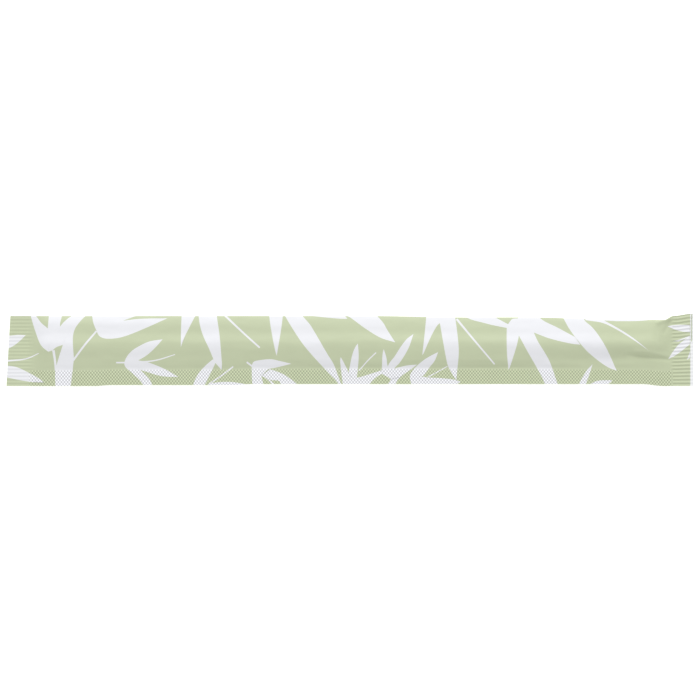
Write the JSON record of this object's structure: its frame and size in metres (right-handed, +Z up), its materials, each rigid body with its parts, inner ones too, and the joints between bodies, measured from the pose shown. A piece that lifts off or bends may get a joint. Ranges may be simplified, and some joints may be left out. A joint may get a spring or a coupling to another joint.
{
  "type": "paper-wrapped bamboo chopsticks",
  "caption": "Sealed printed-paper sleeve around bamboo chopsticks: folded along one edge, knurled seam along the other, ribbed crimps at the ends, lying flat.",
  "frame": {"origin": "middle of the pack in plan, at the face that it lies on", "axes": "+X along the sticks from tips to butts, +Y from the long seam towards the fold, +Z up, away from the surface it lies on"},
  "size_m": [0.2452, 0.026, 0.0052],
  "materials": {
    "printed_paper": "uncoated paper, printed pale green with white leaves"
  },
  "bodies": {
    "root": {"chopstick_pack": "printed_paper"}
  },
  "joints": []
}
